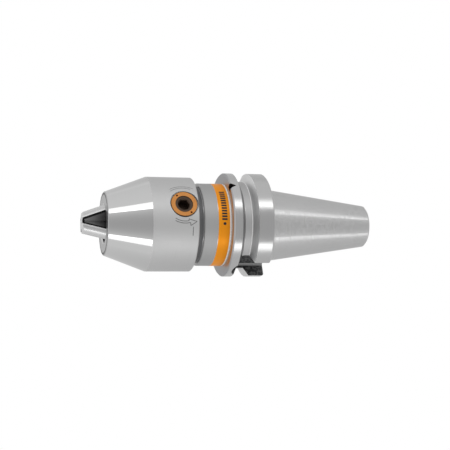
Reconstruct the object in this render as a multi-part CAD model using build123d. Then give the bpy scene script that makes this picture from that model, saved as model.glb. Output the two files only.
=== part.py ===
from build123d import *
from math import atan, cos, pi, radians, sin, sqrt, tan
import os

# A drill chuck with an integral No. 40 7/24 tool-changer shank, as used on machining centres.
# A hex key in the side turns a bevel pinion, which turns a crown nut. The nut draws the keyed jaw
# carrier along the axis, and the three jaws slide in the carrier's T-slots down the sleeve's cone.
#
# Millimetres. The origin is the centre of the shank's gauge plane. +X is the chuck's axis, out of the
# shank's small end, so the jaws point to -X, and +Z is the direction of the key hole. A place along
# the axis is given as its station s, the distance from the gauge plane towards the jaws, so x = -s.
# Angles about the axis run from +Z towards -Y. The jaws are modelled closed.

# Shank and flange, to the standard for the No. 40 taper
GAUGE_RADIUS = 22.225
TAPER_RATE = 7 / 48
TAPER_LENGTH = 65.4
TAPER_CHAMFER = 1.0
FLANGE_RADIUS = 31.5
FLANGE_REAR = 2.0
FLANGE_FRONT = 27.0
FLANGE_CHAMFER = 0.8
GROOVE_REAR = 11.6
GROOVE_FRONT = 21.6
GROOVE_BOTTOM_RADIUS = 26.5
GROOVE_SIDE_ANGLE = 30.0
KEY_SLOT_WIDTH = 16.1
KEY_SLOT_FLOOR = 22.6
KEY_SLOT_END = 24.0
KEY_SLOT_FILLET = 1.2
KEY_SLOT_ANGLES = (86.0, -94.0)
NOTCH_WIDTH = 4.6
NOTCH_DEPTH = 3.8
NOTCH_FLOOR = 28.0
NOTCH_ANGLE = -22.5
PULL_STUD_MINOR_RADIUS = 6.92
PULL_STUD_PILOT_RADIUS = 8.5
PULL_STUD_PILOT_DEPTH = 5.0
PULL_STUD_THREAD_END = -33.4
COOLANT_RADIUS = 3.5

# Neck, colour ring and the spigot that carries the sleeve
NECK_RADIUS = 25.0
NECK_FRONT = 43.2
NECK_CHAMFER = 0.4
RING_REAR = 27.8
RING_FRONT = 34.7
RING_DEPTH = 1.0
RING_PROUD = 0.05
SPIGOT_RADIUS = 23.0
SPIGOT_BORE_RADIUS = 20.5
SPIGOT_FRONT = 65.0
SPIGOT_CHAMFER = 0.5
SPIGOT_SLOT_REAR = 61.6
SPIGOT_CUT_BOTTOM = 16.0
JAW_SLOT_CLEARANCE = 0.6
STEM_BORE_RADIUS = 9.4
STEM_BORE_REAR = 5.0

# Sleeve
SLEEVE_RADIUS = 28.4
SLEEVE_REAR = 46.95
SLEEVE_KNEE = 74.25
NOSE_STATION = 99.2
NOSE_RADIUS = 18.97
SLEEVE_CHAMFER = 0.4
SLEEVE_CUT_BOTTOM = 14.0
NOSE_CHAMFER = 0.5
NOSE_SHOULDER_RADIUS = 19.16
CONE_ANGLE = 20.0
CONE_MOUTH_RADIUS = 11.357
MOUTH_CHAMFER = 0.9

# Jaws
JAW_ANGLES = (-53.0, 67.0, 187.0)
JAW_WIDTH = 8.0
JAW_TIP = 112.1
JAW_BACK_RADIUS = 5.0
JAW_EDGE_CHAMFER = 0.45
JAW_REAR = 84.1
JAW_REAR_HEIGHT = 14.4
JAW_HOOK_WIDTH = 12.0
JAW_HOOK_INNER = 5.0
JAW_HOOK_OUTER = 11.3
JAW_TIP_CHAMFER = 0.5

# Jaw carrier, closed: it travels 22 mm to the rear as the jaws open to 16 mm
HEAD_REAR = 75.0
HEAD_FRONT = 84.0
HEAD_RADIUS = 19.5
HEAD_GAP = 0.3
T_SLOT_REAR = 77.9
T_SLOT_FRONT = 81.05
T_SLOT_INNER = 4.6
STEM_REAR = 28.0
STEM_RADIUS = 9.0
CARRIER_BORE_RADIUS = 4.5
PINION_CHANNEL_WIDTH = 13.0
PINION_CHANNEL_FLOOR = 14.0
KEYWAY_FLOOR = 7.3
KEYWAY_LENGTH = 29.5
STEM_RING_REAR = 28.4
STEM_RING_THICKNESS = 0.9
STEM_RING_GROOVE_RADIUS = 7.9
STEM_RING_RADIUS = 9.25
STEM_RING_OPENING = 3.0

# Bevel gears: their pitch cones meet on the chuck's axis at the pinion's station
PINION_STATION = 55.6
PINION_TEETH = 10
CROWN_TEETH = 36
TOOTH_OUTER = 19.0
TOOTH_INNER = 14.6
PRESSURE_ANGLE = 25.0
ADDENDUM = 0.7
DEDENDUM = 0.95
BACKLASH = 0.2
CROWN_OUTER = 18.8

# Crown nut and its thrust bearing
NUT_BORE_RADIUS = 9.06
NUT_REAR = 36.0
NUT_FRONT = 52.4
NUT_HUB_RADIUS = 12.6
NUT_NOSE_RADIUS = 13.0
NUT_POCKET_REAR = 35.6
NUT_POCKET_RADIUS = 13.0
NUT_FLANGE_REAR = 45.2
NUT_FLANGE_FRONT = 47.5
NUT_FLANGE_RADIUS = 20.2
NUT_SEAL_GROOVE_REAR = 36.8
NUT_SEAL_GROOVE_WIDTH = 1.7
NUT_SEAL_GROOVE_RADIUS = 11.4
TOOTH_FOOT = 0.4
BEARING_FLOOR = 39.2
WASHER_THICKNESS = 1.5
HOUSING_WASHER_INNER = 13.4
HOUSING_WASHER_OUTER = 20.4
SHAFT_WASHER_OUTER = 20.0
BALL_RADIUS = 1.5
BALL_PITCH_RADIUS = 16.6
BALL_COUNT = 18
CAGE_REAR = 41.45
CAGE_FRONT = 43.0
CAGE_HALF_WIDTH = 2.4
SNAP_RING_REAR = 47.65
SNAP_RING_THICKNESS = 1.1
SNAP_RING_INNER_RADIUS = 19.3
SNAP_RING_OUTER_RADIUS = 21.3
SNAP_RING_GROOVE_RADIUS = 21.4
SNAP_RING_OPENING = 9.6

# Pinion and its bushing
JOURNAL_RADIUS = 5.0
PINION_HEAD_TOP = 19.4
PINION_TOP = 27.2
HEX_ACROSS_FLATS = 6.0
HEX_DEPTH = 6.5
COUNTERSINK_RADIUS = 3.8
BUSHING_RADIUS = 8.0
BUSHING_BOTTOM = 20.6
BUSHING_TOP = 27.6
BUSHING_CHAMFER = 0.3
BUSHING_RELIEF_RADIUS = 8.45
BUSHING_RELIEF_BOTTOM = 26.6
SPANNER_HOLE_RADIUS = 0.65
SPANNER_HOLE_PITCH_RADIUS = 6.6
SPANNER_HOLE_DEPTH = 2.0
SPANNER_HOLE_ANGLE = 126.0
WASHER_LOW = 19.45
WASHER_HIGH = 20.55
WASHER_RADIUS = 6.0

# Guide pins, seals and clearances
PIN_RADIUS = 2.5
PIN_STATION = 32.0
PIN_ANGLES = (90.0, -90.0)
PIN_BOTTOM = 7.4
PIN_TOP = 23.8
PIN_CHAMFER = 0.4
RUNNING_GAP = 0.05
SEAT_GAP = 0.02
O_RING_SECTION = 0.75
PINION_O_RING_SECTION = 0.6
PINION_O_RING_HEIGHT = 23.6
OVERLAP = 0.1
EXTRA = 1.0


def turned(outline):
    """Solid of revolution about the chuck's axis, from its (station, radius) corners."""
    corners = [(-station, radius) for station, radius in outline]
    return revolve(make_face(Polyline(*corners, close=True)), Axis.X)


def collar(rear, front, inner, outer):
    """Plain ring about the chuck's axis."""
    return turned([(rear, inner), (rear, outer), (front, outer), (front, inner)])


def upright(radius, station, low, high):
    """Cylinder standing along +Z at a station, between two heights."""
    up = (Align.CENTER, Align.CENTER, Align.MIN)
    return Pos(-station, 0, low) * Cylinder(radius, high - low, align=up)


def block(rear, front, width, low, high):
    """Box between two stations and two heights, centred on the plane y = 0."""
    corner = (Align.MIN, Align.CENTER, Align.MIN)
    return Pos(-front, 0, low) * Box(front - rear, width, high - low, align=corner)


def o_ring(station, centre_radius, section):
    """Torus about the chuck's axis."""
    return Pos(-station, 0, 0) * Rot(0, 90, 0) * Torus(centre_radius, section)


def about_axis(angle, shape):
    """A shape turned about the chuck's axis, from +Z towards -Y."""
    return Rot(angle, 0, 0) * shape


def taper_radius(station):
    """Radius of the shank's taper."""
    return GAUGE_RADIUS + TAPER_RATE * station


def cone_radius(station):
    """Radius of the sleeve's inner cone."""
    return CONE_MOUTH_RADIUS + tan(radians(CONE_ANGLE)) * (NOSE_STATION - station)


def cone_station(radius):
    """Station at which the sleeve's inner cone has a radius."""
    return NOSE_STATION - (radius - CONE_MOUTH_RADIUS) / tan(radians(CONE_ANGLE))


def shank_outline():
    """Half section of the shank, flange, neck and spigot, with the bores inside them."""
    small_end = -TAPER_LENGTH
    groove_run = (FLANGE_RADIUS - GROOVE_BOTTOM_RADIUS) * tan(radians(GROOVE_SIDE_ANGLE))
    pilot_end = small_end + PULL_STUD_PILOT_DEPTH
    ring_floor = NECK_RADIUS - RING_DEPTH
    snap_ring_front = SNAP_RING_REAR + SNAP_RING_THICKNESS + RUNNING_GAP
    return [
        (small_end, PULL_STUD_PILOT_RADIUS),
        (small_end, taper_radius(small_end) - TAPER_CHAMFER),
        (small_end + TAPER_CHAMFER, taper_radius(small_end + TAPER_CHAMFER)),
        (0, GAUGE_RADIUS),
        (FLANGE_REAR, GAUGE_RADIUS),
        (FLANGE_REAR, FLANGE_RADIUS - FLANGE_CHAMFER),
        (FLANGE_REAR + FLANGE_CHAMFER, FLANGE_RADIUS),
        (GROOVE_REAR, FLANGE_RADIUS),
        (GROOVE_REAR + groove_run, GROOVE_BOTTOM_RADIUS),
        (GROOVE_FRONT - groove_run, GROOVE_BOTTOM_RADIUS),
        (GROOVE_FRONT, FLANGE_RADIUS),
        (FLANGE_FRONT - FLANGE_CHAMFER, FLANGE_RADIUS),
        (FLANGE_FRONT, FLANGE_RADIUS - FLANGE_CHAMFER),
        (FLANGE_FRONT, NECK_RADIUS),
        (RING_REAR, NECK_RADIUS),
        (RING_REAR, ring_floor),
        (RING_FRONT, ring_floor),
        (RING_FRONT, NECK_RADIUS),
        (NECK_FRONT - NECK_CHAMFER, NECK_RADIUS),
        (NECK_FRONT, NECK_RADIUS - NECK_CHAMFER),
        (NECK_FRONT, SPIGOT_RADIUS),
        (SPIGOT_FRONT - SPIGOT_CHAMFER, SPIGOT_RADIUS),
        (SPIGOT_FRONT, SPIGOT_RADIUS - SPIGOT_CHAMFER),
        (SPIGOT_FRONT, SPIGOT_BORE_RADIUS),
        (snap_ring_front, SPIGOT_BORE_RADIUS),
        (snap_ring_front, SNAP_RING_GROOVE_RADIUS),
        (SNAP_RING_REAR - RUNNING_GAP, SNAP_RING_GROOVE_RADIUS),
        (SNAP_RING_REAR - RUNNING_GAP, SPIGOT_BORE_RADIUS),
        (BEARING_FLOOR, SPIGOT_BORE_RADIUS),
        (BEARING_FLOOR, NUT_POCKET_RADIUS),
        (NUT_POCKET_REAR, NUT_POCKET_RADIUS),
        (NUT_POCKET_REAR, STEM_BORE_RADIUS),
        (STEM_BORE_REAR, STEM_BORE_RADIUS),
        (STEM_BORE_REAR, COOLANT_RADIUS),
        (PULL_STUD_THREAD_END, COOLANT_RADIUS),
        (PULL_STUD_THREAD_END, PULL_STUD_MINOR_RADIUS),
        (pilot_end, PULL_STUD_MINOR_RADIUS),
        (pilot_end, PULL_STUD_PILOT_RADIUS),
    ]


def key_slot():
    """Cutter for one drive key slot at +Z, open at the flange's rear and round at its front end."""
    above = FLANGE_RADIUS + EXTRA
    half_width = KEY_SLOT_WIDTH / 2
    round_station = KEY_SLOT_END - half_width
    rear = FLANGE_REAR - 2 * KEY_SLOT_FILLET
    straight = block(rear, round_station, KEY_SLOT_WIDTH, KEY_SLOT_FLOOR, above)
    cutter = straight + upright(half_width, round_station, KEY_SLOT_FLOOR, above)
    return fillet(cutter.faces().sort_by(Axis.Z)[0].edges(), KEY_SLOT_FILLET)


def orientation_notch():
    """Cutter for the V in the flange's front rim."""
    half_width = NOTCH_WIDTH / 2 * (NOTCH_DEPTH + EXTRA) / NOTCH_DEPTH
    mouth = -(FLANGE_FRONT + EXTRA)
    tip = -(FLANGE_FRONT - NOTCH_DEPTH)
    outline = make_face(Polyline((mouth, -half_width), (mouth, half_width), (tip, 0), close=True))
    return about_axis(NOTCH_ANGLE, Pos(0, 0, NOTCH_FLOOR) * extrude(outline, FLANGE_RADIUS))


def shank_body():
    """The taper, flange, neck and spigot, which are one piece of steel."""
    body = turned(shank_outline())
    for angle in KEY_SLOT_ANGLES:
        body -= about_axis(angle, key_slot())
    body -= orientation_notch()
    body -= upright(BUSHING_RADIUS + SEAT_GAP, PINION_STATION, SPIGOT_CUT_BOTTOM, NECK_RADIUS)
    slot_width = JAW_WIDTH + JAW_SLOT_CLEARANCE
    jaw_slot = block(SPIGOT_SLOT_REAR, SPIGOT_FRONT + EXTRA, slot_width, SPIGOT_CUT_BOTTOM, NECK_RADIUS)
    for angle in JAW_ANGLES:
        body -= about_axis(angle, jaw_slot)
    for angle in PIN_ANGLES:
        body -= about_axis(angle, upright(PIN_RADIUS + SEAT_GAP, PIN_STATION, 0, NECK_RADIUS))
    return body


def colour_ring():
    """The coloured band let into the neck, which also keeps the guide pins in."""
    inner = NECK_RADIUS - RING_DEPTH + SEAT_GAP
    return collar(RING_REAR + SEAT_GAP, RING_FRONT - SEAT_GAP, inner, NECK_RADIUS + RING_PROUD)


def sleeve():
    """The outer sleeve: a cylinder and a nose cone, with the cone for the jaws inside."""
    bore_radius = SPIGOT_RADIUS + SEAT_GAP
    outline = [
        (SLEEVE_REAR, bore_radius),
        (SLEEVE_REAR, SLEEVE_RADIUS - SLEEVE_CHAMFER),
        (SLEEVE_REAR + SLEEVE_CHAMFER, SLEEVE_RADIUS),
        (SLEEVE_KNEE, SLEEVE_RADIUS),
        (NOSE_STATION - NOSE_CHAMFER, NOSE_SHOULDER_RADIUS),
        (NOSE_STATION, NOSE_RADIUS - NOSE_CHAMFER),
        (NOSE_STATION, CONE_MOUTH_RADIUS + MOUTH_CHAMFER),
        (NOSE_STATION - MOUTH_CHAMFER, cone_radius(NOSE_STATION - MOUTH_CHAMFER)),
        (cone_station(bore_radius), bore_radius),
    ]
    body = turned(outline)
    body -= upright(BUSHING_RADIUS + SEAT_GAP, PINION_STATION, SLEEVE_CUT_BOTTOM, SLEEVE_RADIUS + EXTRA)
    body -= upright(BUSHING_RELIEF_RADIUS, PINION_STATION, BUSHING_RELIEF_BOTTOM, SLEEVE_RADIUS + EXTRA)
    return body


def jaw_back():
    """Long bar with the jaw's width and rounded back, lying along the sleeve's cone."""
    half_width = JAW_WIDTH / 2
    arc_end = half_width - JAW_EDGE_CHAMFER
    drop = JAW_BACK_RADIUS - sqrt(JAW_BACK_RADIUS**2 - arc_end**2)
    depth = 4 * JAW_BACK_RADIUS
    edge = drop + sqrt(2) * JAW_EDGE_CHAMFER
    top = ThreePointArc((-arc_end, -drop), (0, 0), (arc_end, -drop))
    right = Polyline((arc_end, -drop), (half_width, -edge), (half_width, -depth))
    left = Polyline((-half_width, -depth), (-half_width, -edge), (-arc_end, -drop))
    base = Line((half_width, -depth), (-half_width, -depth))
    section = Plane.YZ * make_face(top + right + base + left)
    bar = extrude(section, 2 * JAW_TIP, both=True)
    return Pos(-NOSE_STATION, 0, CONE_MOUTH_RADIUS - RUNNING_GAP) * Rot(0, -CONE_ANGLE, 0) * bar


def jaw_wedge():
    """Prism with a 120 degree edge, so that three jaws close on the axis."""
    gap = RUNNING_GAP / sin(radians(60))
    reach = 2 * JAW_WIDTH
    rise = gap + reach / tan(radians(60))
    high = 2 * SLEEVE_RADIUS
    outline = Polyline((0, gap), (reach, rise), (reach, high), (-reach, high), (-reach, rise), close=True)
    return extrude(Plane.YZ * make_face(outline), 2 * JAW_TIP, both=True)


def jaw():
    """One jaw, pointing along +Z: a wedge under a sloping round back, with a T-shaped hook behind."""
    body = block(JAW_REAR, JAW_TIP, JAW_WIDTH, 0, JAW_REAR_HEIGHT) & jaw_back() & jaw_wedge()
    tip_radius = CONE_MOUTH_RADIUS - RUNNING_GAP - tan(radians(CONE_ANGLE)) * (JAW_TIP - NOSE_STATION)
    tip_cone = turned([
        (JAW_REAR - EXTRA, 0),
        (JAW_REAR - EXTRA, 2 * tip_radius),
        (JAW_TIP - 2 * tip_radius, 3 * tip_radius - JAW_TIP_CHAMFER),
        (JAW_TIP, tip_radius - JAW_TIP_CHAMFER),
        (JAW_TIP, 0),
    ])
    body = body & tip_cone
    head_rear = T_SLOT_REAR + RUNNING_GAP
    head_front = T_SLOT_FRONT - RUNNING_GAP
    neck = block(head_front - OVERLAP, JAW_REAR + EXTRA, JAW_WIDTH, JAW_HOOK_INNER, JAW_HOOK_OUTER)
    head = block(head_rear, head_front, JAW_HOOK_WIDTH, JAW_HOOK_INNER, JAW_HOOK_OUTER)
    return body + neck + head


def jaw_carrier():
    """The keyed, hollow screw whose head holds the jaws."""
    head_front_radius = cone_radius(HEAD_FRONT) - HEAD_GAP
    head_shoulder = cone_station(HEAD_RADIUS + HEAD_GAP)
    body = turned([
        (STEM_REAR, CARRIER_BORE_RADIUS),
        (STEM_REAR, STEM_RADIUS),
        (HEAD_REAR, STEM_RADIUS),
        (HEAD_REAR, HEAD_RADIUS),
        (head_shoulder, HEAD_RADIUS),
        (HEAD_FRONT, head_front_radius),
        (HEAD_FRONT, CARRIER_BORE_RADIUS),
    ])
    outside = HEAD_RADIUS + EXTRA
    slot_width = JAW_WIDTH + 2 * RUNNING_GAP
    t_width = JAW_HOOK_WIDTH + 2 * RUNNING_GAP
    neck_slot = block(T_SLOT_FRONT - OVERLAP, HEAD_FRONT + EXTRA, slot_width, T_SLOT_INNER, outside)
    t_slot = neck_slot + block(T_SLOT_REAR, T_SLOT_FRONT, t_width, T_SLOT_INNER, outside)
    for angle in JAW_ANGLES:
        body -= about_axis(angle, t_slot)
    body -= block(HEAD_REAR - EXTRA, HEAD_FRONT + EXTRA, PINION_CHANNEL_WIDTH, PINION_CHANNEL_FLOOR, outside)
    keyway_width = 2 * PIN_RADIUS + 2 * RUNNING_GAP
    outside_stem = STEM_RADIUS + EXTRA
    keyway = block(STEM_REAR - EXTRA, STEM_REAR + KEYWAY_LENGTH, keyway_width, KEYWAY_FLOOR, outside_stem)
    for angle in PIN_ANGLES:
        body -= about_axis(angle, keyway)
    groove_front = STEM_RING_REAR + STEM_RING_THICKNESS + RUNNING_GAP
    body -= collar(STEM_RING_REAR - RUNNING_GAP, groove_front, STEM_RING_GROOVE_RADIUS, outside_stem)
    return body


def stem_retaining_ring():
    """Open ring at the stem's rear end, which stops it against the guide pins."""
    front = STEM_RING_REAR + STEM_RING_THICKNESS
    ring = collar(STEM_RING_REAR, front, STEM_RING_GROOVE_RADIUS + SEAT_GAP, STEM_RING_RADIUS)
    return ring - block(STEM_RING_REAR - EXTRA, front + EXTRA, STEM_RING_OPENING, 0, STEM_RADIUS + EXTRA)


def pinion_section():
    """Corners of the pinion's toothed outline at the teeth's outer end, as (x, y) about its axis."""
    pitch_radius = TOOTH_OUTER * PINION_TEETH / CROWN_TEETH
    module = 2 * pitch_radius / PINION_TEETH
    base_radius = pitch_radius * cos(radians(PRESSURE_ANGLE))
    tip_radius = pitch_radius + ADDENDUM * module
    root_radius = pitch_radius - DEDENDUM * module
    half_pitch_angle = (pi / 2 - BACKLASH) / PINION_TEETH
    pitch_involute = tan(radians(PRESSURE_ANGLE)) - radians(PRESSURE_ANGLE)
    steps = 4
    flank = [(root_radius, half_pitch_angle + pitch_involute)]
    for step in range(steps + 1):
        roll = sqrt((tip_radius / base_radius) ** 2 - 1) * step / steps
        radius = base_radius * sqrt(1 + roll**2)
        involute = roll - atan(roll)
        flank.append((radius, half_pitch_angle + pitch_involute - involute))
    tooth = [(radius, -turn) for radius, turn in flank]
    tooth += [(radius, turn) for radius, turn in reversed(flank)]
    corners = []
    for index in range(PINION_TEETH):
        middle = 2 * pi * (index + 0.5) / PINION_TEETH
        corners += [(radius * cos(middle + turn), radius * sin(middle + turn)) for radius, turn in tooth]
    return corners


def drive_pinion():
    """The key-driven bevel pinion, with its journal and hex socket."""
    corners = pinion_section()
    wires = []
    for height in (TOOTH_INNER, TOOTH_OUTER):
        size = height / TOOTH_OUTER
        outline = [(-PINION_STATION + size * x, size * y, height) for x, y in corners]
        wires.append(Wire.make_polygon([Vector(*corner) for corner in outline], close=True))
    body = Part() + Solid.make_loft(wires, ruled=True)
    body += upright(WASHER_RADIUS, PINION_STATION, TOOTH_OUTER, PINION_HEAD_TOP)
    body += upright(JOURNAL_RADIUS, PINION_STATION, PINION_HEAD_TOP - OVERLAP, PINION_TOP)
    hexagon = RegularPolygon(HEX_ACROSS_FLATS / 2, 6, major_radius=False, rotation=0)
    socket = Pos(-PINION_STATION, 0, PINION_TOP - HEX_DEPTH) * extrude(hexagon, HEX_DEPTH + EXTRA)
    sink_depth = COUNTERSINK_RADIUS - HEX_ACROSS_FLATS / 2
    up = (Align.CENTER, Align.CENTER, Align.MAX)
    sink = Cone(HEX_ACROSS_FLATS / 2, COUNTERSINK_RADIUS, sink_depth, align=up)
    return body - socket - Pos(-PINION_STATION, 0, PINION_TOP) * sink


def pinion_bushing():
    """The coloured bushing that holds the pinion, with two holes for a pin spanner."""
    body = upright(BUSHING_RADIUS, PINION_STATION, BUSHING_BOTTOM, BUSHING_TOP)
    body = chamfer(body.edges().sort_by(Axis.Z)[-1], BUSHING_CHAMFER)
    body -= upright(JOURNAL_RADIUS + RUNNING_GAP, PINION_STATION, BUSHING_BOTTOM - EXTRA, BUSHING_TOP + EXTRA)
    groove_half = PINION_O_RING_SECTION + RUNNING_GAP
    groove_radius = JOURNAL_RADIUS + 2 * PINION_O_RING_SECTION + RUNNING_GAP
    low = PINION_O_RING_HEIGHT - groove_half
    high = PINION_O_RING_HEIGHT + groove_half
    body -= upright(groove_radius, PINION_STATION, low, high)
    hole_bottom = BUSHING_TOP - SPANNER_HOLE_DEPTH
    for angle in (SPANNER_HOLE_ANGLE, SPANNER_HOLE_ANGLE + 180):
        along = SPANNER_HOLE_PITCH_RADIUS * cos(radians(angle))
        across = SPANNER_HOLE_PITCH_RADIUS * sin(radians(angle))
        hole = upright(SPANNER_HOLE_RADIUS, PINION_STATION, hole_bottom, BUSHING_TOP + EXTRA)
        body -= Pos(along, across, 0) * hole
    return body


def pinion_washer():
    """Thrust washer between the pinion's head and its bushing."""
    hole_radius = JOURNAL_RADIUS + 2 * RUNNING_GAP
    disc = upright(WASHER_RADIUS, PINION_STATION, WASHER_LOW, WASHER_HIGH)
    return disc - upright(hole_radius, PINION_STATION, WASHER_LOW - EXTRA, WASHER_HIGH + EXTRA)


def pinion_o_ring():
    """Seal in the bushing's groove, round the pinion's journal."""
    centre_radius = JOURNAL_RADIUS + PINION_O_RING_SECTION + SEAT_GAP
    return Pos(-PINION_STATION, 0, PINION_O_RING_HEIGHT) * Torus(centre_radius, PINION_O_RING_SECTION)


def crown_tooth():
    """One straight bevel tooth of the crown nut, at +Z, tapering towards the cones' apex."""
    module = 2 * TOOTH_OUTER / CROWN_TEETH
    pitch_depth = TOOTH_OUTER * PINION_TEETH / CROWN_TEETH
    half_thickness = (pi / 2 - BACKLASH) * module / 2
    slope = tan(radians(PRESSURE_ANGLE))
    root = (DEDENDUM + TOOTH_FOOT) * module
    tip = ADDENDUM * module
    outline = [
        (pitch_depth + root, half_thickness + slope * root),
        (pitch_depth - tip, half_thickness - slope * tip),
        (pitch_depth - tip, -half_thickness + slope * tip),
        (pitch_depth + root, -half_thickness - slope * root),
    ]
    wires = []
    for height in (TOOTH_INNER, CROWN_OUTER):
        size = height / TOOTH_OUTER
        corners = [Vector(-PINION_STATION + size * depth, size * side, height) for depth, side in outline]
        wires.append(Wire.make_polygon(corners, close=True))
    return Solid.make_loft(wires, ruled=True)


def root_station(radius):
    """Station of the crown nut's tooth root at a radius."""
    module = 2 * radius / CROWN_TEETH
    return PINION_STATION - radius * PINION_TEETH / CROWN_TEETH - DEDENDUM * module


def crown_nut():
    """The nut with the crown teeth, which turns on the thrust bearing and moves the jaw carrier."""
    groove_front = NUT_SEAL_GROOVE_REAR + NUT_SEAL_GROOVE_WIDTH
    body = turned([
        (NUT_REAR, NUT_BORE_RADIUS),
        (NUT_REAR, NUT_HUB_RADIUS),
        (NUT_SEAL_GROOVE_REAR, NUT_HUB_RADIUS),
        (NUT_SEAL_GROOVE_REAR, NUT_SEAL_GROOVE_RADIUS),
        (groove_front, NUT_SEAL_GROOVE_RADIUS),
        (groove_front, NUT_HUB_RADIUS),
        (NUT_FLANGE_REAR, NUT_HUB_RADIUS),
        (NUT_FLANGE_REAR, NUT_FLANGE_RADIUS),
        (NUT_FLANGE_FRONT, NUT_FLANGE_RADIUS),
        (NUT_FLANGE_FRONT, CROWN_OUTER),
        (root_station(CROWN_OUTER), CROWN_OUTER),
        (root_station(TOOTH_INNER), TOOTH_INNER),
        (root_station(TOOTH_INNER), NUT_NOSE_RADIUS),
        (NUT_FRONT, NUT_NOSE_RADIUS),
        (NUT_FRONT, NUT_BORE_RADIUS),
    ])
    tooth = crown_tooth()
    teeth = [about_axis(360 * index / CROWN_TEETH, tooth) for index in range(CROWN_TEETH)]
    return body.fuse(*teeth)


def nut_o_ring():
    """Seal in the nut's hub, against the shank's pocket."""
    station = NUT_SEAL_GROOVE_REAR + NUT_SEAL_GROOVE_WIDTH / 2
    return o_ring(station, NUT_POCKET_RADIUS - RUNNING_GAP - O_RING_SECTION, O_RING_SECTION)


def bearing_housing_washer():
    """The thrust bearing's still race."""
    front = BEARING_FLOOR + WASHER_THICKNESS
    return collar(BEARING_FLOOR, front, HOUSING_WASHER_INNER, HOUSING_WASHER_OUTER)


def bearing_shaft_washer():
    """The thrust bearing's turning race."""
    rear = NUT_FLANGE_REAR - WASHER_THICKNESS + SEAT_GAP
    return collar(rear, NUT_FLANGE_REAR, NUT_HUB_RADIUS + SEAT_GAP, SHAFT_WASHER_OUTER)


def ball_station():
    """Station half way between the two races."""
    return (BEARING_FLOOR + NUT_FLANGE_REAR + SEAT_GAP) / 2


def bearing_balls():
    """The thrust bearing's balls, a group of separate solids."""
    ball = Pos(-ball_station(), 0, BALL_PITCH_RADIUS) * Sphere(BALL_RADIUS)
    return Compound(children=[about_axis(360 * index / BALL_COUNT, ball) for index in range(BALL_COUNT)])


def ball_cage():
    """The thrust bearing's cage, with a pocket for each ball."""
    inner = BALL_PITCH_RADIUS - CAGE_HALF_WIDTH
    outer = BALL_PITCH_RADIUS + CAGE_HALF_WIDTH
    body = collar(CAGE_REAR, CAGE_FRONT, inner, outer)
    pocket = Rot(0, 90, 0) * Cylinder(BALL_RADIUS + RUNNING_GAP, 3 * BALL_RADIUS)
    pocket = Pos(-ball_station(), 0, BALL_PITCH_RADIUS) * pocket
    for index in range(BALL_COUNT):
        body -= about_axis(360 * index / BALL_COUNT, pocket)
    return body


def crown_snap_ring():
    """Ring in the spigot's bore that keeps the crown nut on its bearing, open under the bushing."""
    front = SNAP_RING_REAR + SNAP_RING_THICKNESS
    ring = collar(SNAP_RING_REAR, front, SNAP_RING_INNER_RADIUS, SNAP_RING_OUTER_RADIUS)
    return ring - block(SNAP_RING_REAR - EXTRA, front + EXTRA, SNAP_RING_OPENING, 0, SPIGOT_RADIUS)


def guide_pin():
    """Pin through the neck into the stem's keyway, pointing along +Z."""
    pin = upright(PIN_RADIUS, PIN_STATION, PIN_BOTTOM, PIN_TOP)
    return chamfer(pin.edges().sort_by(Axis.Z)[0], PIN_CHAMFER)


def all_parts():
    """Every piece by name."""
    parts = {
        "shank_body": shank_body(),
        "colour_ring": colour_ring(),
        "sleeve": sleeve(),
        "jaw_carrier": jaw_carrier(),
        "stem_retaining_ring": stem_retaining_ring(),
        "crown_nut": crown_nut(),
        "nut_o_ring": nut_o_ring(),
        "crown_snap_ring": crown_snap_ring(),
        "bearing_housing_washer": bearing_housing_washer(),
        "bearing_shaft_washer": bearing_shaft_washer(),
        "bearing_balls": bearing_balls(),
        "ball_cage": ball_cage(),
        "drive_pinion": drive_pinion(),
        "pinion_bushing": pinion_bushing(),
        "pinion_washer": pinion_washer(),
        "pinion_o_ring": pinion_o_ring(),
    }
    for number, angle in enumerate(JAW_ANGLES, 1):
        parts[f"jaw_{number}"] = about_axis(angle, jaw())
    for number, angle in enumerate(PIN_ANGLES, 1):
        parts[f"guide_pin_{number}"] = about_axis(angle, guide_pin())
    return parts


os.makedirs("parts", exist_ok=True)
for name, shape in all_parts().items():
    export_step(shape, f"parts/{name}.step")
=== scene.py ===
from math import cos, pi, radians, sin, tan

import bpy
from mathutils import Matrix, Vector


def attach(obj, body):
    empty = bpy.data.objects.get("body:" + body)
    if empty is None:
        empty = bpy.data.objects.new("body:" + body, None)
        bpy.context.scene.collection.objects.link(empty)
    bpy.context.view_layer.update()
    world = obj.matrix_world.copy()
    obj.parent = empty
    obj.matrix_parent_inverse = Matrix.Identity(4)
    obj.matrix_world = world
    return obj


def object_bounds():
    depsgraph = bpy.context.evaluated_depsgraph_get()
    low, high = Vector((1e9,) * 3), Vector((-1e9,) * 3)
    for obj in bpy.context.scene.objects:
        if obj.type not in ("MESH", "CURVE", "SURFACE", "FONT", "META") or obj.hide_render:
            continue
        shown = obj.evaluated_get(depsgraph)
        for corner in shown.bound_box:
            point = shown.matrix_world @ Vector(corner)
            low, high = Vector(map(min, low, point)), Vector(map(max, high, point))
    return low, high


# The drill chuck's looks: materials on the CAD nodes, the laser marks on the sleeve, the colour ring's
# scale, a pale floor, soft studio lights and the camera. Metres, in the CAD's frame: the chuck's axis is
# X, the jaws point to -X and the hex key hole faces +Z. Stations count millimetres from the gauge plane
# towards the jaws, so x = -station * MM. Radii are in millimetres from the axis.

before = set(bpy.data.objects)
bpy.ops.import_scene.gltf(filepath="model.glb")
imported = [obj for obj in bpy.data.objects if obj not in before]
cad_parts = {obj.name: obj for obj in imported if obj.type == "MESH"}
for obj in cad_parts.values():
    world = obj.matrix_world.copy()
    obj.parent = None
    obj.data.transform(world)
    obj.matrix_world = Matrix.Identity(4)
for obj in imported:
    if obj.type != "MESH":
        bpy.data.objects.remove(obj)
cad_low, cad_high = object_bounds()

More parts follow.
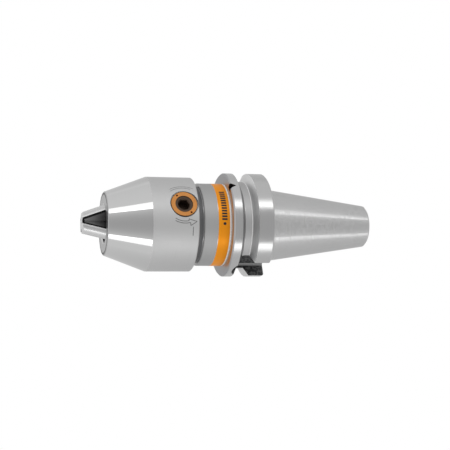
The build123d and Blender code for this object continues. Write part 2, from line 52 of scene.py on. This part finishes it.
MM = 0.001
AXIS = Vector((1, 0, 0))
VIEW_TILT = radians(64)  # from -Y up to the camera, seen along the chuck's axis
TOWARDS_CAMERA = Vector((0, -cos(VIEW_TILT), sin(VIEW_TILT)))
ACROSS_VIEW = Vector((0, sin(VIEW_TILT), cos(VIEW_TILT)))

SLEEVE_RADIUS = 28.4
RING_RADIUS = 25.05
KEY_STATION = 55.6
KEY_TURN = radians(90)

NOSE_CONE_START = 74.26
NOSE_EDGE = 98.71
NOSE_FACE = 99.15
NOSE_EDGE_RADIUS = 18.4
MOUTH_RADIUS = 11.2

SLOT_TURN = radians(4)
SLOT_END_CENTRE = 15.95
SLOT_HALF_WIDTH = 8.06
SLOT_REAR, SLOT_FRONT = 2.05, 24.3
SLOT_FLOOR = 21.5  # a little under the floor itself, so that the floor is painted too

NOTCH_TURN = radians(-22.5)
NOTCH_TIP = 23.13
NOTCH_SLOPE = 2.3 / 3.8  # half the V's width over its length
NOTCH_BAND = (22.9, 26.97, 27.7, 31.46)  # rear and front station, inner and outer radius

JAW_ANGLES = (-53, 67, 187)
JAW_TIP = 112.1
JAW_NOSE = 99.2
JAW_CONE = radians(20)
JAW_SHADE_LINE = 7.4  # where the line of painted shade under a jaw's back starts, from the axis at JAW_NOSE
JAW_SHADE_SPOT = 4.6  # from the axis to the spots of painted shade where the jaws meet

THREAD_PITCH = 2.0
THREAD_BAND = (-60.3, -33.5, 6.8, 7.0)

# Bands round the shank whose finish differs from the ground steel's, some of them painted light, painted
# highlights or painted shade: rear and front station, inner and outer radius, colour, metallic and
# roughness.
SHANK_BANDS = {
    "neck": (34.9, 43.1, 20, 26, (0.50, 0.50, 0.50), 1.0, 0.56),
    # Painted light: the groove's rear wall is brighter than the steel, for the light it catches in the
    # groove.
    "groove's rear wall, painted light": (11.6, 14.45, 26.6, 31.4, (0.86, 0.86, 0.86), 1.0, 0.4),
    "groove's floor": (14.6, 18.6, 26.3, 26.6, (0.54, 0.54, 0.54), 1.0, 0.5),
    # Painted highlight: the groove's rear corner is near white and not metallic.
    "painted highlight on the groove's rear corner": (14.25, 14.6, 26.3, 27.2, (0.95, 0.95, 0.95), 0.0, 0.4),
    # Painted shade: the groove's front wall is darker than the steel.
    "painted shade on the groove's front wall": (18.75, 21.55, 26.6, 31.4, (0.26, 0.26, 0.26), 1.0, 0.3),
    # Painted highlight: the land beside the colour ring is near white and not metallic.
    "painted highlight on the land beside the colour ring": (27.03, 27.78, 24.9, 25.03, (0.95, 0.93, 0.90), 0.0, 0.4),
    "flange's front face": (26.15, 27.1, 25.1, 31.44, (0.45, 0.45, 0.46), 1.0, 0.35),
    # The relief before the sleeve has a dark finish, darkened further as painted shade in the recess.
    "relief before the sleeve, dark and partly painted shade": (43.3, 47.1, 20, 24.8, (0.16, 0.16, 0.165), 0.5, 0.5),
}


def grey(level):
    return level, level, level


# ---------------------------------------------------------------- shader graphs

class Graph:
    """A material's node tree, with short calls for what the materials here need."""

    def __init__(self, name):
        self.material = bpy.data.materials.new(name)
        self.material.use_nodes = True
        self.tree = self.material.node_tree
        self.tree.nodes.clear()
        self.output = self.tree.nodes.new("ShaderNodeOutputMaterial")
        self.shader = self.tree.nodes.new("ShaderNodeBsdfPrincipled")
        self.link(self.shader.outputs[0], self.output.inputs["Surface"])
        coordinates = self.tree.nodes.new("ShaderNodeTexCoord")
        self.place = coordinates.outputs["Object"]
        parts = self.tree.nodes.new("ShaderNodeSeparateXYZ")
        self.link(self.place, parts.inputs[0])
        self.x, self.y, self.z = parts.outputs

    def link(self, source, target):
        self.tree.links.new(source, target)

    def set(self, **values):
        """Sets sockets of the shader: set(Metallic=1, Roughness=0.3)."""
        for name, value in values.items():
            self.feed(self.shader.inputs[name.replace("_", " ")], value)

    def feed(self, socket, value):
        """Links a socket to another one, or gives it a value."""
        if isinstance(value, bpy.types.NodeSocket):
            self.link(value, socket)
        else:
            socket.default_value = value

    def math(self, operation, *values):
        node = self.tree.nodes.new("ShaderNodeMath")
        node.operation = operation
        for socket, value in zip(node.inputs, values):
            self.feed(socket, value)
        return node.outputs[0]

    def ramp(self, value, low, high, at_low=0.0, at_high=1.0):
        """A smooth step from at_low to at_high as value goes from low to high."""
        node = self.tree.nodes.new("ShaderNodeMapRange")
        node.interpolation_type = "SMOOTHSTEP"
        for socket, number in zip(node.inputs, (value, low, high, at_low, at_high)):
            self.feed(socket, number)
        return node.outputs[0]

    def mix(self, factor, first, second):
        node = self.tree.nodes.new("ShaderNodeMix")
        node.data_type = "RGBA"
        self.feed(node.inputs["Factor"], factor)
        self.feed(node.inputs["A"], (*first, 1) if isinstance(first, tuple) else first)
        self.feed(node.inputs["B"], (*second, 1) if isinstance(second, tuple) else second)
        return node.outputs["Result"]

    def blend(self, factor, first, second):
        """A number that goes from first to second with factor."""
        node = self.tree.nodes.new("ShaderNodeMix")
        node.data_type = "FLOAT"
        self.feed(node.inputs["Factor"], factor)
        self.feed(node.inputs["A"], first)
        self.feed(node.inputs["B"], second)
        return node.outputs["Result"]

    def noise(self, scale, detail=2.0, stretch=(1, 1, 1), roughness=0.5):
        """Noise whose grain is 1/scale metres, divided by stretch along each axis."""
        mapping = self.tree.nodes.new("ShaderNodeMapping")
        self.link(self.place, mapping.inputs["Vector"])
        mapping.inputs["Scale"].default_value = stretch
        node = self.tree.nodes.new("ShaderNodeTexNoise")
        self.link(mapping.outputs[0], node.inputs["Vector"])
        node.inputs["Scale"].default_value = scale
        node.inputs["Detail"].default_value = detail
        node.inputs["Roughness"].default_value = roughness
        return node.outputs["Fac"]

    def bump(self, height, strength, distance):
        node = self.tree.nodes.new("ShaderNodeBump")
        node.inputs["Strength"].default_value = strength
        node.inputs["Distance"].default_value = distance
        self.link(height, node.inputs["Height"])
        self.link(node.outputs[0], self.shader.inputs["Normal"])

    def between(self, value, low, high, soft=0.03 * MM):
        """1 where value lies between two limits, else 0."""
        above = self.ramp(value, low - soft, low + soft)
        below = self.ramp(value, high - soft, high + soft, 1.0, 0.0)
        return self.math("MULTIPLY", above, below)

    def length(self, first, second):
        """Length of a vector with these two parts."""
        squares = [self.math("MULTIPLY", part, part) for part in (first, second)]
        return self.math("SQRT", self.math("ADD", *squares))

    def along(self, y, z):
        """How far the place lies from the chuck's axis in the direction (0, y, z)."""
        return self.math("ADD", self.math("MULTIPLY", self.y, y), self.math("MULTIPLY", self.z, z))

    def radius(self):
        """Distance from the chuck's axis."""
        return self.length(self.y, self.z)

    def ahead_of(self, station, soft):
        """1 nearer the jaws than a station, else 0."""
        return self.ramp(self.x, -(station + soft) * MM, -station * MM, 1.0, 0.0)

    def outside(self, radius, soft):
        """1 farther from the axis than a radius, else 0."""
        return self.ramp(self.radius(), radius * MM, (radius + soft) * MM)

    def distance_to(self, place):
        node = self.tree.nodes.new("ShaderNodeVectorMath")
        node.operation = "DISTANCE"
        self.link(self.place, node.inputs[0])
        node.inputs[1].default_value = place
        return node.outputs["Value"]

    def faces_towards(self, direction):
        """Cosine of the angle between the surface's normal and a direction."""
        node = self.tree.nodes.new("ShaderNodeVectorMath")
        node.operation = "DOT_PRODUCT"
        self.link(self.tree.nodes.new("ShaderNodeTexCoord").outputs["Normal"], node.inputs[0])
        node.inputs[1].default_value = direction
        return node.outputs["Value"]

    def turned_around_x(self):
        """Makes the shader's gloss run along the lathe lines round the chuck's axis."""
        tangent = self.tree.nodes.new("ShaderNodeTangent")
        tangent.direction_type = "RADIAL"
        tangent.axis = "X"
        self.link(tangent.outputs[0], self.shader.inputs["Tangent"])


# ---------------------------------------------------------------- materials

def turned_steel(name, colour, roughness, spread, line_height, anisotropy):
    """Steel with fine lathe or grinding lines round the chuck's axis, and slightly uneven gloss."""
    g = Graph(name)
    lines = g.noise(1, detail=3, stretch=(5200, 45, 45))
    clouds = g.noise(90, detail=3)
    tone = g.mix(g.math("MULTIPLY", lines, 0.2), colour, tuple(0.86 * c for c in colour))
    g.set(Base_Color=tone, Metallic=1.0, Anisotropic=anisotropy)
    uneven = g.math("ADD", g.math("MULTIPLY", lines, 0.6), g.math("MULTIPLY", clouds, 0.4))
    g.set(Roughness=g.ramp(uneven, 0.25, 0.75, roughness - spread, roughness + spread))
    g.bump(lines, 0.15, line_height)
    g.turned_around_x()
    return g


def current(socket):
    """What feeds a socket now: another socket, or its own value."""
    return socket.links[0].from_socket if socket.links else socket.default_value


def shade(g, mask, colour, metallic=1.0, roughness=0.4):
    """Where mask is 1, gives a graph another base colour and roughness, and metallic if it is below 1."""
    inputs = g.shader.inputs
    g.set(Base_Color=g.mix(mask, current(inputs["Base Color"]), colour))
    g.set(Roughness=g.blend(mask, current(inputs["Roughness"]), roughness))
    if metallic < 1.0:
        g.set(Metallic=g.blend(mask, current(inputs["Metallic"]), metallic))


def station_band(g, rear, front, inner, outer):
    """1 between two stations and two radii, else 0."""
    along = g.between(g.x, -front * MM, -rear * MM)
    return g.math("MULTIPLY", along, g.between(g.radius(), inner * MM, outer * MM))


def slot_mask(g):
    """1 inside the two drive key slots, round at their front end, and 1 along their floors' corners."""
    depth = g.along(-cos(SLOT_TURN), sin(SLOT_TURN))
    across = g.along(sin(SLOT_TURN), cos(SLOT_TURN))
    forward = g.math("MAXIMUM", g.math("SUBTRACT", -SLOT_END_CENTRE * MM, g.x), 0.0)
    reach = g.length(forward, across)
    inside = g.ramp(reach, SLOT_HALF_WIDTH * MM, (SLOT_HALF_WIDTH + 0.03) * MM, 1.0, 0.0)
    deep = g.ramp(g.math("ABSOLUTE", depth), SLOT_FLOOR * MM, (SLOT_FLOOR + 0.3) * MM)
    behind_lobe = g.between(g.x, -SLOT_FRONT * MM, -SLOT_REAR * MM, 0.01 * MM)
    slot = g.math("MULTIPLY", g.math("MULTIPLY", inside, deep), behind_lobe)
    aside = g.ramp(g.math("ABSOLUTE", across), 6.6 * MM, 6.9 * MM)
    low = g.ramp(g.math("ABSOLUTE", depth), 23.8 * MM, 24.0 * MM, 1.0, 0.0)
    return slot, g.math("MULTIPLY", aside, low)


def notch_mask(g):
    """1 on the walls and floor of the V-shaped notch in the flange's front lobe."""
    facing = g.along(-sin(NOTCH_TURN), cos(NOTCH_TURN))
    across = g.along(cos(NOTCH_TURN), sin(NOTCH_TURN))
    half_width = g.math("MULTIPLY", g.math("SUBTRACT", -NOTCH_TIP * MM, g.x), NOTCH_SLOPE)
    room = g.math("SUBTRACT", half_width, g.math("ABSOLUTE", across))
    inside = g.math("MULTIPLY", g.ramp(room, -0.03 * MM, 0.03 * MM), g.ramp(facing, 0.0, 1.0 * MM))
    return g.math("MULTIPLY", inside, station_band(g, *NOTCH_BAND))


def thread_valleys(g):
    """1 in the valleys of the pull-stud thread, a right-hand helix in the hole at the taper's small end."""
    turn = g.math("ARCTAN2", g.y, g.z)
    forward = g.math("MULTIPLY", g.x, 2 * pi / (THREAD_PITCH * MM))
    wave = g.math("SINE", g.math("ADD", forward, turn))
    hole = station_band(g, *THREAD_BAND)
    return g.math("MULTIPLY", hole, g.ramp(wave, -0.3, 0.3))


def shank_steel():
    """Ground steel: scratched taper, the bands above, and painted shade in the key slots, notch and thread.
    """
    g = turned_steel("ground_steel", grey(0.66), 0.2, 0.03, 0.000002, 0.3)
    taper = g.ramp(g.x, -1.2 * MM, -1.0 * MM)
    scratches = g.noise(1, detail=3, stretch=(40000, 300, 300), roughness=0.7)
    scratched = g.ramp(scratches, 0.4, 0.56, 0.1, 0.62)
    g.set(Roughness=g.blend(taper, current(g.shader.inputs["Roughness"]), scratched))
    for rear, front, inner, outer, colour, metallic, roughness in SHANK_BANDS.values():
        shade(g, station_band(g, rear, front, inner, outer), colour, metallic, roughness)
    # Key slots: painted shade mottled with painted reflection, and a painted highlight along the floors'
    # corners.
    slot_reflection_mottle = g.ramp(g.noise(700, detail=3), 0.42, 0.6)
    slot, corners = slot_mask(g)
    shade(g, slot, g.mix(slot_reflection_mottle, (0.028, 0.029, 0.031), grey(0.13)), 0.3, 0.5)
    shade(g, g.math("MULTIPLY", slot, corners), grey(0.30), 0.3, 0.45)
    # Painted shade: the notch's walls and floor are near black, so they mirror almost nothing.
    shade(g, notch_mask(g), (0.01, 0.01, 0.011), roughness=0.6)
    # Painted shade in the valleys of the pull-stud thread.
    shade(g, thread_valleys(g), grey(0.12))
    return g.material


def sleeve_steel():
    """Satin sleeve, finely ground bright nose cone, duller front face in a dark ring of painted reflection.
    """
    g = turned_steel("satin_steel", grey(0.66), 0.58, 0.04, 0.000004, 0.0)
    cone = g.ahead_of(NOSE_CONE_START, 0.1)
    g.set(Roughness=g.blend(cone, current(g.shader.inputs["Roughness"]), 0.05))
    face = g.math("MULTIPLY", g.ahead_of(NOSE_FACE, 0.02), g.outside(MOUTH_RADIUS, 0.1))
    shade(g, face, grey(0.45), roughness=0.3)
    edge = g.math("MULTIPLY", g.ahead_of(NOSE_EDGE, 0.04), g.outside(NOSE_EDGE_RADIUS, 0.1))
    shade(g, edge, grey(0.5))
    # Painted reflection: a dark ring round the outer rim of the nose's front face.
    shade(g, g.math("MULTIPLY", face, g.outside(NOSE_EDGE_RADIUS - 1.5, 0.7)), grey(0.08))
    return g.material


def jaw_steel(name, angle):
    """A ground jaw at an angle in degrees from +Z towards -Y.

    Marks run lengthwise, the back and bevels are satin, and the flanks carry painted shade that grows
    darker towards the mouth. A line of painted shade runs just under the back, and the spots at the tip
    where the jaws meet are painted shade too.
    """
    g = Graph(name)
    lines = g.noise(1, detail=2, stretch=(60, 3500, 3500))
    g.set(Base_Color=g.mix(lines, grey(0.62), grey(0.72)), Metallic=1.0)
    g.set(Roughness=g.ramp(lines, 0.2, 0.8, 0.16, 0.28))
    turn = radians(angle)
    satin = 0.42
    outward = g.faces_towards((0, -sin(turn), cos(turn)))
    shade(g, g.ramp(outward, 0.85, 0.95), grey(0.68), roughness=satin)
    sideways = g.math("ABSOLUTE", g.faces_towards((0, -cos(turn), -sin(turn))))
    bevel = g.math("MULTIPLY", g.ramp(sideways, 0.4, 0.5), g.ramp(outward, 0.4, 0.5))
    shade(g, bevel, grey(0.62), roughness=satin)
    flank = g.ramp(sideways, 0.9, 0.96)
    # Painted shade on the flanks, darker towards the mouth.
    painted_flank_shade = g.mix(g.ramp(g.x, -111.5 * MM, -99.5 * MM), grey(0.26), grey(0.12))
    shade(g, flank, painted_flank_shade, roughness=0.35)
    # Painted shade: a near-black line along the flank just under the jaw's back.
    cone_drop = g.math("MULTIPLY", g.math("ADD", g.x, JAW_NOSE * MM), -tan(JAW_CONE))
    lift = g.math("ADD", g.along(-sin(turn), cos(turn)), cone_drop)
    shade_line_under_back = g.ramp(lift, JAW_SHADE_LINE * MM, (JAW_SHADE_LINE + 0.4) * MM)
    shade(g, g.math("MULTIPLY", flank, shade_line_under_back), grey(0.02), roughness=0.35)
    # Painted shade: near-black spots at the tip where the jaws meet.
    for side in (-60, 60):
        meeting = radians(angle + side)
        place = Vector((-JAW_TIP, -JAW_SHADE_SPOT * sin(meeting), JAW_SHADE_SPOT * cos(meeting))) * MM
        shade_spot = g.ramp(g.distance_to(place), 1.2 * MM, 1.4 * MM, 1.0, 0.0)
        shade(g, shade_spot, grey(0.015), roughness=0.5)
    g.bump(lines, 0.15, 0.000004)
    return g.material


def orange_anodised(name, colour):
    """Satin orange anodising over fine turning lines."""
    g = Graph(name)
    lines = g.noise(1, detail=3, stretch=(4200, 60, 60))
    clouds = g.noise(120, detail=3)
    lined = g.mix(lines, colour, tuple(1.12 * c for c in colour))
    clouded = g.mix(g.math("MULTIPLY", clouds, 0.3), lined, tuple(0.88 * c for c in colour))
    g.set(Base_Color=clouded, Metallic=0.35)
    g.set(Roughness=g.ramp(clouds, 0.3, 0.7, 0.34, 0.46), Specular_IOR_Level=0.3)
    g.bump(lines, 0.2, 0.000005)
    return g


def bushing_paint():
    """The ring's finish, paler, and dark brown at the bushing's outer and inner edges."""
    g = orange_anodised("bushing_orange", (0.58, 0.24, 0.06))
    from_centre = g.length(g.math("ADD", g.x, KEY_STATION * MM), g.y)
    outer_edge = g.ramp(from_centre, 7.65 * MM, 7.75 * MM)
    inner_edge = g.ramp(from_centre, 5.2 * MM, 5.3 * MM, 1.0, 0.0)
    shade(g, g.math("MAXIMUM", outer_edge, inner_edge), (0.07, 0.04, 0.02), roughness=0.45)
    return g.material


def plain_metal(name, colour, roughness, metallic=1.0):
    """Machined metal with a fine uneven grain, for the smaller pieces."""
    g = Graph(name)
    grain = g.noise(2600, detail=3)
    clouds = g.noise(160, detail=2)
    darker = tuple(0.8 * c for c in colour)
    g.set(Base_Color=g.mix(clouds, colour, darker), Metallic=metallic)
    g.set(Roughness=g.ramp(grain, 0.3, 0.7, roughness - 0.05, roughness + 0.05))
    g.bump(grain, 0.12, 0.00001)
    return g.material


def seal_rubber():
    """Matt black rubber."""
    g = Graph("seal_rubber")
    grain = g.noise(5200, detail=2)
    g.set(Base_Color=g.mix(grain, grey(0.012), grey(0.03)), Roughness=0.7)
    g.bump(grain, 0.2, 0.00001)
    return g.material


def mark_ink(name, level):
    """The dull dark grey that a laser leaves on steel, or black print."""
    g = Graph(name)
    grain = g.noise(6000, detail=2)
    g.set(Base_Color=g.mix(grain, grey(0.8 * level), grey(1.2 * level)), Metallic=0.2)
    g.set(Roughness=g.ramp(grain, 0.3, 0.7, 0.5, 0.7))
    return g.material


def give(material, *nodes):
    """Puts a material on CAD nodes."""
    for name in nodes:
        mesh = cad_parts[name].data
        mesh.materials.clear()
        mesh.materials.append(material)


give(shank_steel(), "shank_body")
give(sleeve_steel(), "sleeve")
for number, angle in enumerate(JAW_ANGLES, 1):
    give(jaw_steel(f"jaw_steel_{number}", angle), f"jaw_{number}")
give(orange_anodised("ring_orange", (0.98, 0.34, 0.008)).material, "colour_ring")
give(bushing_paint(), "pinion_bushing")
# The pinion is dark steel with a brown tint that is painted reflection of the orange bushing round it.
give(plain_metal("brown_steel", (0.07, 0.043, 0.028), 0.35, 0.6), "drive_pinion")
give(plain_metal("bronze", (0.6, 0.42, 0.2), 0.35), "pinion_washer", "ball_cage")
give(seal_rubber(), "pinion_o_ring", "nut_o_ring")
give(plain_metal("gear_steel", (0.42, 0.42, 0.44), 0.35), "crown_nut", "jaw_carrier")
give(plain_metal("spring_steel", (0.2, 0.2, 0.21), 0.4), "crown_snap_ring", "stem_retaining_ring")
give(
    plain_metal("bearing_steel", (0.72, 0.72, 0.73), 0.12),
    "bearing_housing_washer", "bearing_shaft_washer", "bearing_balls", "guide_pin_1", "guide_pin_2",
)


# ---------------------------------------------------------------- marks

MARK_SINK = 0.02  # millimetres a mark reaches into the surface
MARK_THICKNESS = 0.05
ARROW_LINE = 0.32  # widths of the lines, in millimetres
HEAD_LINE = 0.34
ARC_LINE = 0.2
ARROW_HEAD = ((2.2, -10.6), (2.2, -9.5), (7.0, -11.0), (3.3, -13.4), (3.1, -11.6))
BAR_ENDS = ((4.8, -14.1), (4.8, -19.3))
TICK_REAR, TICK_FRONT = 29.4, 32.6
TICK_STEP = radians(3.9)
DOT_STATION = 31
DOT_RADIUS = 0.9


def skin(name, sections, radius, material):
    """A thin mark on a cylinder round the chuck's axis, which rides on the housing.

    sections: pairs of edge points, each (station, angle); angles in radians from -Y to +Z.
    """
    low = radius - MARK_SINK
    high = low + MARK_THICKNESS
    points = []
    for pair in sections:
        for (station, turn), r in zip((*pair, *reversed(pair)), (low, low, high, high)):
            points.append((-station * MM, -r * MM * cos(turn), r * MM * sin(turn)))
    faces = [(3, 2, 1, 0)]
    for k in range(0, len(points) - 4, 4):
        for i in range(4):
            j = (i + 1) % 4
            faces.append((k + i, k + j, k + 4 + j, k + 4 + i))
    last = len(points) - 4
    faces.append((last, last + 1, last + 2, last + 3))
    mesh = bpy.data.meshes.new(name)
    mesh.from_pydata(points, [], faces)
    mesh.materials.append(material)
    item = bpy.data.objects.new(name, mesh)
    bpy.context.collection.objects.link(item)
    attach(item, "housing")


def on_sleeve(place):
    """Station and angle of a place given from the key hole in millimetres: towards the tail, and up."""
    return KEY_STATION - place.x, KEY_TURN + place.y / SLEEVE_RADIUS


def stroke(name, points, width, ink):
    """A line of one width on the sleeve, through places given in millimetres from the key hole."""
    places = [Vector(point) for point in points]
    sections = []
    for before, place, after in zip(places[:1] + places, places, places[1:] + places[-1:]):
        step = after - before
        aside = Vector((-step.y, step.x)).normalized() * width / 2
        sections.append([on_sleeve(place - aside), on_sleeve(place + aside)])
    skin(name, sections, SLEEVE_RADIUS, ink)


def arc(radius, start, end):
    """Places on an arc round the key hole, from one angle to another in degrees from the tail's side."""
    steps = 14
    turns = [radians(start + (end - start) * k / steps) for k in range(steps + 1)]
    return [(radius * cos(turn), radius * sin(turn)) for turn in turns]


def straight(first, second):
    """Places along a straight line, close enough together to follow the sleeve."""
    steps = 4
    return [Vector(first).lerp(Vector(second), k / steps) for k in range(steps + 1)]


def sleeve_marks():
    """Laser marks that show which way to turn the key: an outlined arrow, a double arc and a bar."""
    ink = mark_ink("laser_grey", 0.10)
    stroke("turn_arrow_inside", arc(10.8, -122, -78), ARROW_LINE, ink)
    stroke("turn_arrow_outside", arc(12.0, -119, -75), ARROW_LINE, ink)
    for number, ends in enumerate(zip(ARROW_HEAD, ARROW_HEAD[1:]), 1):
        stroke(f"turn_arrow_head_{number}", straight(*ends), HEAD_LINE, ink)
    stroke("turn_arc_inside", arc(11.3, 66, 132), ARC_LINE, ink)
    stroke("turn_arc_outside", arc(12.6, 60, 128), ARC_LINE, ink)
    stroke("turn_bar", straight(*BAR_ENDS), HEAD_LINE, ink)


def ring_marks():
    """Twelve plain ticks and a dot on the colour ring."""
    ink = mark_ink("ring_print", 0.02)
    half_tick = radians(1.25)
    for number in range(12):
        middle = radians(72) + TICK_STEP * number
        turns = (middle - half_tick, middle, middle + half_tick)
        sections = [[(TICK_REAR, turn), (TICK_FRONT, turn)] for turn in turns]
        skin(f"ring_tick_{number + 1}", sections, RING_RADIUS, ink)
    steps = 12
    sections = []
    for k in range(steps + 1):
        turn = pi * k / steps
        along = DOT_RADIUS * sin(turn) + 0.01
        angle = radians(66) + DOT_RADIUS * cos(turn) / RING_RADIUS
        sections.append([(DOT_STATION - along, angle), (DOT_STATION + along, angle)])
    skin("ring_dot", sections, RING_RADIUS, ink)


sleeve_marks()
ring_marks()


# ---------------------------------------------------------------- floor, lights, world, camera

STRIP_DISTANCE = 0.6
STRIP_LENGTH = 1.3
STRIP_CENTRE_X = 0.05
CAMERA_X = -0.1956
CAMERA_DISTANCE = 0.6484  # from the chuck's axis
CAMERA_RISE = 0.00056
CAMERA_ROLL = radians(-0.64)
TARGET_X = -0.0244


def floor():
    """A wide pale floor that the flange rests on."""
    reach = 9.0
    level = cad_low[2]
    mesh = bpy.data.meshes.new("floor")
    corners = [(x * reach, y * reach, level) for x, y in ((-1, -1), (1, -1), (1, 1), (-1, 1))]
    mesh.from_pydata(corners, [], [(0, 1, 2, 3)])
    item = bpy.data.objects.new("floor", mesh)
    bpy.context.collection.objects.link(item)
    mesh.materials.append(floor_paint())


def floor_paint():
    """Pale floor: white where it is seen itself, and a soft grey where the steel mirrors it."""
    g = Graph("floor")
    g.tree.nodes.remove(g.shader)
    seen = g.tree.nodes.new("ShaderNodeLightPath").outputs["Is Camera Ray"]
    white = g.tree.nodes.new("ShaderNodeEmission")
    mirrored = g.tree.nodes.new("ShaderNodeEmission")
    g.feed(mirrored.inputs["Strength"], g.ramp(g.x, -0.16, -0.03, 0.80, 0.58))
    either = g.tree.nodes.new("ShaderNodeMixShader")
    g.link(seen, either.inputs[0])
    g.link(mirrored.outputs[0], either.inputs[1])
    g.link(white.outputs[0], either.inputs[2])
    g.link(either.outputs[0], g.output.inputs["Surface"])
    return g.material


def axes(x_axis, z_axis):
    """Rotation whose local X and Z point along two directions at right angles."""
    y_axis = z_axis.cross(x_axis)
    return Matrix((x_axis, y_axis, z_axis)).transposed().to_4x4()


def strip_light(name, angle, width, power):
    """A long soft box along the chuck's axis, at an angle in degrees round it from the camera's side."""
    turn = VIEW_TILT + radians(angle)
    away = Vector((0, -cos(turn), sin(turn)))
    data = bpy.data.lights.new(name, "AREA")
    data.shape = "RECTANGLE"
    data.size = STRIP_LENGTH
    data.size_y = width
    data.energy = power
    item = bpy.data.objects.new(name, data)
    place = away * STRIP_DISTANCE + STRIP_CENTRE_X * AXIS
    item.matrix_world = Matrix.Translation(place) @ axes(AXIS, away)
    item.visible_camera = False
    bpy.context.collection.objects.link(item)


def towards(tree, direction):
    """Cosine of the angle between a ray that leaves the scene and a direction."""
    node = tree.nodes.new("ShaderNodeVectorMath")
    node.operation = "DOT_PRODUCT"
    node.inputs[1].default_value = direction
    tree.links.new(tree.nodes.new("ShaderNodeTexCoord").outputs["Generated"], node.inputs[0])
    return node.outputs["Value"]


def studio():
    """A pale surround, darker towards the tail and, as a flag would make it, behind the camera."""
    world = bpy.data.worlds.new("studio")
    bpy.context.scene.world = world
    world.use_nodes = True
    tree = world.node_tree
    background = tree.nodes["Background"]
    background.inputs["Color"].default_value = (1, 1, 1, 1)
    sides = tree.nodes.new("ShaderNodeMapRange")
    for socket, value in zip(sides.inputs[1:], (-0.5, 0.6, 0.84, 0.58)):
        socket.default_value = value
    flag = tree.nodes.new("ShaderNodeMapRange")
    flag.interpolation_type = "SMOOTHSTEP"
    for name, value in (("From Min", 0.55), ("From Max", 0.9), ("To Max", 0.46)):
        flag.inputs[name].default_value = value
    tree.links.new(towards(tree, AXIS), sides.inputs["Value"])
    tree.links.new(towards(tree, TOWARDS_CAMERA), flag.inputs["Value"])
    tree.links.new(sides.outputs[0], flag.inputs["To Min"])
    tree.links.new(flag.outputs[0], background.inputs["Strength"])


def camera():
    """The camera: from the jaws' side and above, looking across the chuck."""
    place = CAMERA_X * AXIS + CAMERA_DISTANCE * TOWARDS_CAMERA + CAMERA_RISE * ACROSS_VIEW
    back = (place - TARGET_X * AXIS).normalized()
    right = (AXIS - back.x * back).normalized()
    up = back.cross(right)
    right = right * cos(CAMERA_ROLL) - up * sin(CAMERA_ROLL)
    data = bpy.data.cameras.new("camera")
    data.lens = 87.8
    data.sensor_width = 36
    item = bpy.data.objects.new("camera", data)
    item.matrix_world = Matrix.Translation(place) @ axes(right, back)
    bpy.context.collection.objects.link(item)
    bpy.context.scene.camera = item


floor()
studio()
for side, name in ((1, "upper"), (-1, "lower")):
    strip_light(f"{name}_strip", 44.4 * side, 0.106, 0.63)
    strip_light(f"{name}_strip_edge", 53 * side, 0.075, 0.22)
camera()
bpy.context.scene.view_settings.view_transform = "Standard"
